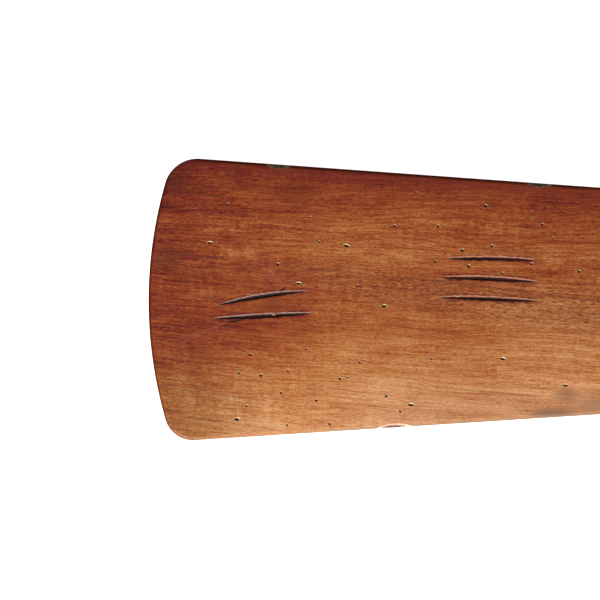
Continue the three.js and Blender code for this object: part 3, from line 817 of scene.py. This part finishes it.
def wood(name, show_face):
    """Stained veneer. The show face also has the stain's patches, its marks, and its dents' pale rims with
    painted highlights.
    """
    g = Graph(name)
    from_tip, across = grain_space(g)
    from_side, from_edge = inside_outline(g)
    hair = fibres(g, across, 3, 0.5, 1, roughness=0.6)
    thread = fibres(g, across, 14, 0.8, 5)
    figure = g.patches(3.2, 16, 21)
    pores = open_pores(g, across)

    tone = g.add(stain_and_light_tone(g, from_tip, show_face), grain_tone(g, from_tip, across, hair, thread, figure))
    colour = tinted(g, g.ramp(tone, STAIN), tone, from_tip)
    colour = g.mix(g.times(0.5, pores), colour, srgb(66, 22, 15))
    if show_face:
        colour = bloomed(g, colour, from_tip, across)
        colour = marked(g, colour, from_tip, hair, thread, figure)
    colour = edged(g, colour, from_tip, from_side, from_edge)
    if show_face:
        colour = flaked_and_glinting(g, colour, from_tip, from_side, hair)

    height = g.add(g.times(0.5, hair), g.times(0.35, thread), g.times(-0.6, pores))
    swell = g.patches(45, 22, 51, detail=1)
    return g.finish(
        Base_Color=colour,
        Roughness=g.add(0.36, g.times(0.16, thread), g.times(0.15, pores)),
        Normal=g.bump(swell, 0.25, 0.5, g.bump(height, 0.05, 0.35)),
        Specular_IOR_Level=g.times(0.2, g.step(from_edge, 0.4, 2.5)),
        Coat_Weight=g.times(0.12, g.step(from_edge, 0.5, 3)),
        Coat_Roughness=0.3,
    )


def scar_wood(name, colours, floor, lit=None, chips=()):
    """Bare wood inside a cut, with painted light: a painted glint at the lip, and painted shade with dark
    glaze pooled in it from the floor depth down.

    The colours run from the floor to the lip. With lit, walls that face the +Y side, towards the key
    light, by less than its first value get painted shade too, and those that face it by more than its
    second don't. Chips are pale.
    """
    g = Graph(name)
    dark, light, bright = (srgb(*colour) for colour in colours)
    from_tip, across = grain_space(g)
    thread = fibres(g, across, 4, 0.3, 61, detail=3, roughness=0.65)
    depth = g.minus(SHOW_Z, g.z)
    shade = g.add(
        g.times(depth, 1 / floor),
        swing(g, thread, 0.45),
        swing(g, g.patches(2.6, 1.1, 63), 0.45),
    )
    # Painted shade on the walls that face away from the key light on the +Y side.
    if lit:
        normal_x, normal_y, _ = g.parts(g.node("ShaderNodeNewGeometry").outputs["Normal"])
        shaded = g.step(g.add(normal_y, g.times(0.4, normal_x)), lit[1], lit[0])
        shade = g.add(shade, g.times(shaded, g.step(depth, 0, 0.12)))
    # Painted light by depth: a glint at the lip, and painted shade with pooled glaze towards the floor of
    # the cut.
    colour = g.ramp(shade, [(0.05, bright), (0.28, light), (0.55, light), (0.85, dark)])
    for place in chips:
        colour = g.mix(blot(g, from_tip, place, CHIP_REACH), colour, srgb(206, 156, 82))
    normal = g.bump(thread, 0.1, 0.6)
    return g.finish(Base_Color=colour, Roughness=0.65, Normal=normal, Specular_IOR_Level=0.3)


def ply_edge(name):
    """The edges of the inner plies: stained dark, and paler on the +Y side, rubbed wood with a painted
    sheen where that edge faces the light.
    """
    g = Graph(name)
    # Partly painted sheen: paler where the +Y edge faces the light.
    pale_side = g.times(g.step(g.y, 30, 50), g.step(g.minus(TIP_X, g.x), 5, 20))
    layer = g.patches(30, 30, g.times(g.z, 1 / 0.22))
    fleck = g.patches(1.4, 1.4, g.times(g.z, 1 / 0.5))
    tone = g.add(0.24, g.times(0.3, pale_side), swing(g, layer, 0.3), swing(g, fleck, 0.25))
    colour = g.mix(g.times(0.5, pale_side), g.ramp(tone, STAIN), srgb(158, 128, 98))
    normal = g.bump(g.add(layer, g.times(0.5, fleck)), 0.06, 0.5)
    return g.finish(Base_Color=colour, Roughness=0.62, Normal=normal, Specular_IOR_Level=0.2)


# ---------------------------------------------------------------- metal, fibre and rubber

def aged_bronze():
    """Cast metal under a dark bronze finish, rubbed through to copper on its ridges."""
    g = Graph("aged_bronze")
    mottle = g.grit(7, 4, 0.6)
    sand = g.grit(0.7, 3, 0.6)
    pointed = g.node("ShaderNodeNewGeometry").outputs["Pointiness"]
    worn = g.times(g.step(pointed, 0.515, 0.56), g.step(mottle, 0.3, 0.62))
    colour = g.ramp(mottle, [(0.3, srgb(34, 24, 19)), (0.5, srgb(58, 41, 31)), (0.7, srgb(84, 58, 40))])
    colour = g.mix(worn, colour, srgb(158, 98, 58))
    rough = g.minus(g.add(0.42, g.times(0.2, sand)), g.times(0.15, worn))
    normal = g.bump(sand, 0.12, 0.5)
    return g.finish(Base_Color=colour, Metallic=0.8, Roughness=rough, Normal=normal)


def plated_steel(name, dark, bright, roughness):
    """Plated steel with fine tool marks and a cloudy plating."""
    g = Graph(name)
    cloud = g.grit(2.5, 3, 0.6)
    scratch = g.patches(0.25, 3, g.times(g.z, 1 / 0.12))
    colour = g.ramp(cloud, [(0.3, dark), (0.7, bright)])
    rough = g.add(roughness, g.times(0.12, scratch), g.times(0.08, cloud))
    normal = g.bump(scratch, 0.02, 0.3)
    return g.finish(Base_Color=colour, Metallic=1, Roughness=rough, Normal=normal)


def red_fibre():
    g = Graph("red_fibre")
    felt = g.grit(0.5, 4, 0.7)
    mottle = g.add(g.times(0.6, felt), g.times(0.4, g.grit(4)))
    colour = g.ramp(mottle, [(0.3, srgb(86, 24, 18)), (0.5, srgb(124, 38, 28)), (0.7, srgb(150, 58, 42))])
    return g.finish(Base_Color=colour, Roughness=0.75, Normal=g.bump(felt, 0.05, 0.6))


def black_rubber():
    g = Graph("black_rubber")
    grit = g.grit(0.4, 3, 0.6)
    mottle = g.add(g.times(0.4, grit), g.times(0.6, g.grit(9, 3)))
    colour = g.ramp(mottle, [(0.35, srgb(22, 21, 21)), (0.6, srgb(44, 42, 40)), (0.8, srgb(62, 60, 57))])
    rough = g.add(0.62, g.times(0.25, grit))
    return g.finish(Base_Color=colour, Roughness=rough, Normal=g.bump(grit, 0.05, 0.6))


# ---------------------------------------------------------------- the board

BLADE_SCREWS = ["blade_screw_outer", "blade_screw_inner_left", "blade_screw_inner_right"]
SCREW_HOLE = 2.75
KEY_FACING = (0.44, 0.6)  # how far a gouge's wall faces +Y, towards the key light, where its painted shade begins to thin, and where it ends


def screw_axis(node):
    """Moves a shape that stands on Z to a blade screw's place."""
    low, high = node_box(node)
    centre = (low + high) / 2
    return Matrix.Translation((centre.x, centre.y, 0))


def screw_holes():
    """Cutters for the blade screws' holes, well past the board both ways."""
    points, faces = lathe([(SCREW_HOLE, BACK_Z - 3), (SCREW_HOLE, SHOW_Z + 9)], 32)
    return merge_solids([(placed(points, screw_axis(node)), faces) for node in BLADE_SCREWS])


def cut_dents(piece, side, material):
    dents = [dent_cutter(i, *dent) for i, dent in enumerate(DENTS) if dent[1] == side]
    cut(piece, *merge_solids(dents), material)


def cut_marks(piece, cutter, rows, first, material, **shape):
    """Cuts one mark for each row, numbered from first: the number seeds its roughness."""
    marks = [cutter(first + i, *row, **shape) for i, row in enumerate(rows)]
    cut(piece, *merge_solids(marks), material)


def distress(piece, gouged):
    """The show face's marks. The gouges nearest the tip hold the darkest glaze and painted shade."""
    scored = scar_wood("scored_wood", [(60, 25, 17), (172, 102, 70), (200, 156, 132)], 1.1, KEY_FACING, CHIPS)
    nicked = scar_wood("nicked_wood", [(48, 10, 7), (88, 20, 12), (124, 34, 20)], 0.5)
    bored = scar_wood("bored_wood", [(30, 14, 10), (184, 162, 136), (214, 196, 172)], 0.62, (0.35, 0.75))
    torn = scar_wood("torn_wood", [(30, 15, 10), (230, 198, 140), (255, 236, 188)], 0.75, (0.35, 0.7))
    round_holes = [(from_tip, y, size, size) for from_tip, y, size in WORM_HOLES + root_holes()]
    cut_marks(piece, gouge_cutter, NICKS, 20, nicked)
    cut_marks(piece, gouge_cutter, GOUGES[:2], 0, gouged)
    cut_marks(piece, gouge_cutter, GOUGES[2:], 2, scored)
    cut_marks(piece, pit_cutter, round_holes, 0, bored)
    cut_marks(piece, pit_cutter, WORM_PITS, 200, torn, pointed=0.5)


def build_board():
    edge = ply_edge("ply_edge_wood")
    finishes = {
        "blade_back_ply": ("back_veneer", wood("back_face_wood", False)),
        "blade_face_ply": ("show_veneer", wood("show_face_wood", True)),
    }
    gouged = scar_wood("gouged_wood", [(38, 17, 12), (140, 98, 80), (190, 164, 150)], 1.1, KEY_FACING, CHIPS)
    rasped = scar_wood("rasped_wood", [(104, 80, 56), (160, 127, 90), (198, 162, 120)], 3)
    chipped = scar_wood("chipped_wood", [(84, 50, 34), (196, 154, 122), (255, 240, 222)], 2.8)
    for name in PLIES:
        low, high = node_box(name)
        slot, finish = finishes.get(name, ("ply_core", edge))
        piece = piece_from(*stack(ply_rings(low.z, high.z)), name, slot, finish)
        cut(piece, *screw_holes(), gouged)
        if name != "blade_back_ply":
            cut_dents(piece, -1, rasped)
            cut_dents(piece, 1, chipped)
        if name == "blade_face_ply":
            distress(piece, gouged)
        smooth(piece, 28)


# ---------------------------------------------------------------- the blade iron and its fixings

def copy_of_node(node):
    """A new object with a CAD node's mesh, whose split corners are joined again."""
    mesh = frame["nodes"][node].data.copy()
    bm = bmesh.new()
    bm.from_mesh(mesh)
    bmesh.ops.remove_doubles(bm, verts=bm.verts, dist=MM / 1000)
    bm.to_mesh(mesh)
    bm.free()
    mesh.materials.clear()
    return linked(f"visual_{node}", mesh)


def build_iron():
    """The casting: the CAD shape with the soft fillets and edges that a mould leaves."""
    obj = copy_of_node("blade_iron")
    remesh = obj.modifiers.new("remesh", "REMESH")
    remesh.mode = "VOXEL"
    remesh.voxel_size = 0.7 * MM
    soften = obj.modifiers.new("soften", "SMOOTH")
    soften.factor = 0.5
    soften.iterations = 6
    apply_modifiers(obj)
    obj.data.materials.append(aged_bronze())
    obj.data.shade_smooth()
    stands_for(obj, "blade_iron")


SCREW_STEPS = 64
THREAD_ROWS = 10  # rings to each turn of a thread
WASHER_STEPS = 72

# Up a pan head: share of its radius, share of its height.
CROWN = [
    (0.97, 0), (1, 0.05), (1, 0.32),
    *((0.9 + 0.1 * math.cos(a), 0.32 + 0.16 * math.sin(a)) for a in (0.5, 1)),
    (0.88, 0.55), (0.8, 0.69), (0.68, 0.82), (0.52, 0.92), (0.32, 0.98), (0.12, 1),
]


def pan_head(shank, head, head_height, length, pitch=None, thread_depth=0):
    """A pan-head screw with its point at z = 0 and a rounded head on top. Without a pitch it is plain."""
    pitch = pitch or length
    rows = int(length / pitch * THREAD_ROWS)
    angles = [2 * math.pi * i / SCREW_STEPS for i in range(SCREW_STEPS)]
    rings = []
    for j in range(rows + 1):
        z = length * j / rows
        ring = []
        for angle in angles:
            phase = (z / pitch - angle / (2 * math.pi)) % 1
            r = shank - thread_depth * abs(2 * phase - 1) ** 0.8
            ring.append(on_circle(min(r, 0.72 * shank + z), angle, z))
        rings.append(ring)
    for share, rise in CROWN:
        rings.append([on_circle(head * share, angle, length + head_height * rise) for angle in angles])
    return stack(rings)


def cross_recess(head, head_height, length):
    """The two crossed, tapering slots of a cross recess."""
    floor = (length + 0.35 * head_height, 0.22 * head, 0.09 * head)
    top = (length + 1.2 * head_height, 0.62 * head, 0.13 * head)
    solids = []
    for turn in (0, math.pi / 2):
        rings = []
        for z, along, aside in (floor, top):
            rings.append([(*turned(i * along, j * aside, turn), z) for i, j in SQUARE])
        solids.append(stack(rings))
    return solids


def ring_washer(inner, outer, low, high, soft):
    """A flat ring with rounded corners."""
    near, far = inner + soft, outer - soft
    bottom, top = low + soft, high - soft
    profile = []
    for r, z, start in ((far, bottom, -90), (far, top, 0), (near, top, 90), (near, bottom, 180)):
        for k in range(5):
            angle = math.radians(start + 90 * k / 4)
            profile.append((r + soft * math.cos(angle), z + soft * math.sin(angle)))
    return lathe(profile, WASHER_STEPS, closed=True)


def split_washer(inner, outer, low, wire, rise, opening, soft):
    """A spring washer: a ring cut through once, whose ends stand apart."""
    sweep = 2 * math.pi - math.radians(opening)
    rings = []
    for i in range(WASHER_STEPS + 1):
        angle = sweep * i / WASHER_STEPS
        base = low + rise * i / WASHER_STEPS
        top = base + wire
        section = [
            (inner + soft, base), (outer - soft, base), (outer, base + soft), (outer, top - soft),
            (outer - soft, top), (inner + soft, top), (inner, top - soft), (inner, base + soft),
        ]
        rings.append([on_circle(r, angle, z) for r, z in section])
    return stack(rings)


def build_screw(node, matrix, length, sizes, slot, steel, **thread):
    """A screw whose point is at the matrix's origin and whose head lies along its Z."""
    points, faces = pan_head(length=length, **sizes, **thread)
    piece = piece_from(placed(points, matrix), faces, node, slot, steel)
    for points, faces in cross_recess(sizes["head"], sizes["head_height"], length):
        cut(piece, placed(points, matrix), faces, steel)
    smooth(piece)


def build_washer(node, matrix, solid, slot, material, angle):
    points, faces = solid
    smooth(piece_from(placed(points, matrix), faces, node, slot, material), angle)


BLADE_SCREW = {"shank": 2.4, "head": 4.9, "head_height": 3}


def build_blade_screws():
    steel = plated_steel("dark_steel", srgb(58, 52, 46), srgb(104, 96, 86), 0.3)
    fibre = red_fibre()
    for node in BLADE_SCREWS:
        low, high = node_box(node)
        axis = screw_axis(node)
        length = high.z - low.z - BLADE_SCREW["head_height"]
        head_down = axis @ Matrix.Translation((0, 0, high.z)) @ Matrix.Rotation(math.pi, 4, "X")
        build_screw(node, head_down, length, BLADE_SCREW, "dark_steel", steel)
        washer = node.replace("blade_screw", "fibre_washer")
        low, high = node_box(washer)
        solid = ring_washer(SCREW_HOLE, (high.x - low.x) / 2, low.z, high.z, 0.25)
        build_washer(washer, axis, solid, "red_fibre", fibre, 60)


FOOT_TOP = 7  # height of the motor foot's head side over its bolting face
GAP = 0.3  # left between neighbouring pieces
MOTOR_SCREW = {"shank": 3, "head": 5.6, "head_height": 3.8}
MOTOR_THREAD = {"pitch": 1, "thread_depth": 0.42}
MOTOR_SCREW_SPACING = 32
MOTOR_SCREW_REACH = 12
MOTOR_SCREW_HOLE = MOTOR_SCREW["shank"] + 0.4
FLAT_WASHER = {"outer": 7, "thickness": 1.2, "soft": 0.18}
LOCK_WASHER = {"outer": 5.4, "wire": 1, "rise": 0.5, "opening": 14, "soft": 0.12}


def build_motor_screws():
    zinc = plated_steel("zinc_steel", srgb(150, 148, 142), srgb(196, 194, 186), 0.24)
    flat_low = FOOT_TOP + GAP
    flat_high = flat_low + FLAT_WASHER["thickness"]
    lock_low = flat_high + GAP
    head_low = lock_low + LOCK_WASHER["wire"] + LOCK_WASHER["rise"] + GAP
    flat = ring_washer(MOTOR_SCREW_HOLE, FLAT_WASHER["outer"], flat_low, flat_high, FLAT_WASHER["soft"])
    lock = split_washer(MOTOR_SCREW_HOLE, low=lock_low, **LOCK_WASHER)
    for side, y in (("left", MOTOR_SCREW_SPACING / 2), ("right", -MOTOR_SCREW_SPACING / 2)):
        axis = PITCH @ Matrix.Translation((0, y, 0))
        point = axis @ Matrix.Translation((0, 0, -MOTOR_SCREW_REACH))
        length = MOTOR_SCREW_REACH + head_low
        build_screw(f"motor_screw_{side}", point, length, MOTOR_SCREW, "zinc_steel", zinc, **MOTOR_THREAD)
        build_washer(f"flat_washer_{side}", axis, flat, "zinc_steel", zinc, 60)
        build_washer(f"lock_washer_{side}", axis, lock, "zinc_steel", zinc, 50)


def build_gaskets():
    rubber = black_rubber()
    for node in ("blade_gasket", "motor_gasket"):
        obj = copy_of_node(node)
        obj.data.materials.append(rubber)
        bevel = obj.modifiers.new("bevel", "BEVEL")
        bevel.width = 0.2 * MM
        bevel.segments = 3
        bevel.angle_limit = math.radians(50)
        apply_modifiers(obj)
        smooth(obj)
        stands_for(obj, node)


# ---------------------------------------------------------------- floor, light and camera, in metres

FLOOR_HALF = 30
FLOOR_DROP = 0.5 * MM
VIEW_X = (TIP_X - 82) * MM  # the point of the blade in the middle of the picture
VIEW_Y = 0.1 * MM
VIEW_WIDTH = 0.324  # how much of the blade the picture's width shows
VIEW_ROLL = math.radians(0.23)
LENS = 135
SENSOR = 36


def build_floor():
    """A pale floor just under the part. It glows most towards a camera straight above it."""
    g = Graph("pale_floor")
    pale = g.ramp(g.grit(40), [(0.3, (0.86, 0.86, 0.86)), (0.7, (0.9, 0.9, 0.9))])
    seen = g.node("ShaderNodeLightPath").outputs["Is Camera Ray"]
    overhead = g.parts(g.node("ShaderNodeNewGeometry").outputs["Incoming"])[2]
    glow = g.add(0.3, g.times(0.15, seen), g.times(0.5, seen, g.step(overhead, 0.9, 0.975)))
    material = g.finish(Base_Color=pale, Roughness=0.9, Emission_Color=(1, 1, 1), Emission_Strength=glow)
    mesh = bpy.data.meshes.new("floor")
    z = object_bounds()[0][2] - FLOOR_DROP
    mesh.from_pydata([(i * FLOOR_HALF, j * FLOOR_HALF, z) for i, j in SQUARE], [], [(0, 1, 2, 3)])
    mesh.materials.append(material)
    linked("floor", mesh)


def area_light(name, place, target, size, power):
    """A white softbox at a place, facing a target."""
    data = bpy.data.lights.new(name, "AREA")
    data.shape = "RECTANGLE"
    data.size, data.size_y = size
    data.energy = power
    lamp = linked(name, data)
    lamp.location = place
    lamp.rotation_euler = (Vector(target) - Vector(place)).to_track_quat("-Z", "Y").to_euler()
    lamp.visible_camera = False


def build_camera():
    """Straight above the show face, with the tip on the picture's left."""
    data = bpy.data.cameras.new("camera")
    data.lens = LENS
    data.sensor_width = SENSOR
    data.clip_end = 100
    camera = linked("camera", data)
    camera.location = (VIEW_X, VIEW_Y, SHOW_Z * MM + VIEW_WIDTH * LENS / SENSOR)
    camera.rotation_euler = (0, 0, math.pi + VIEW_ROLL)
    bpy.context.scene.camera = camera


def build_light():
    """A white world, a key light beyond the +Y edge and a wide, weak one above it."""
    world = bpy.data.worlds.new("studio")
    world.use_nodes = True
    nodes = world.node_tree.nodes
    background = nodes["Background"]
    background.inputs["Color"].default_value = (1, 1, 1, 1)
    strength = nodes.new("ShaderNodeMapRange")  # it looks pale to the camera, and lights the part less
    strength.inputs["To Min"].default_value = 0.3
    strength.inputs["To Max"].default_value = 0.8
    seen = nodes.new("ShaderNodeLightPath").outputs["Is Camera Ray"]
    world.node_tree.links.new(seen, strength.inputs["Value"])
    world.node_tree.links.new(strength.outputs[0], background.inputs["Strength"])
    bpy.context.scene.world = world
    target = (VIEW_X, 0, SHOW_Z * MM)
    area_light("key", (VIEW_X + 0.34, 0.86, 0.72), target, (0.4, 0.3), 13)
    area_light("veil", (VIEW_X, 0.62, 1.05), target, (1.4, 0.7), 2.6)
    bpy.context.scene.view_settings.view_transform = "Standard"


build_board()
build_iron()
build_blade_screws()
build_motor_screws()
build_gaskets()
build_floor()
build_light()
build_camera()
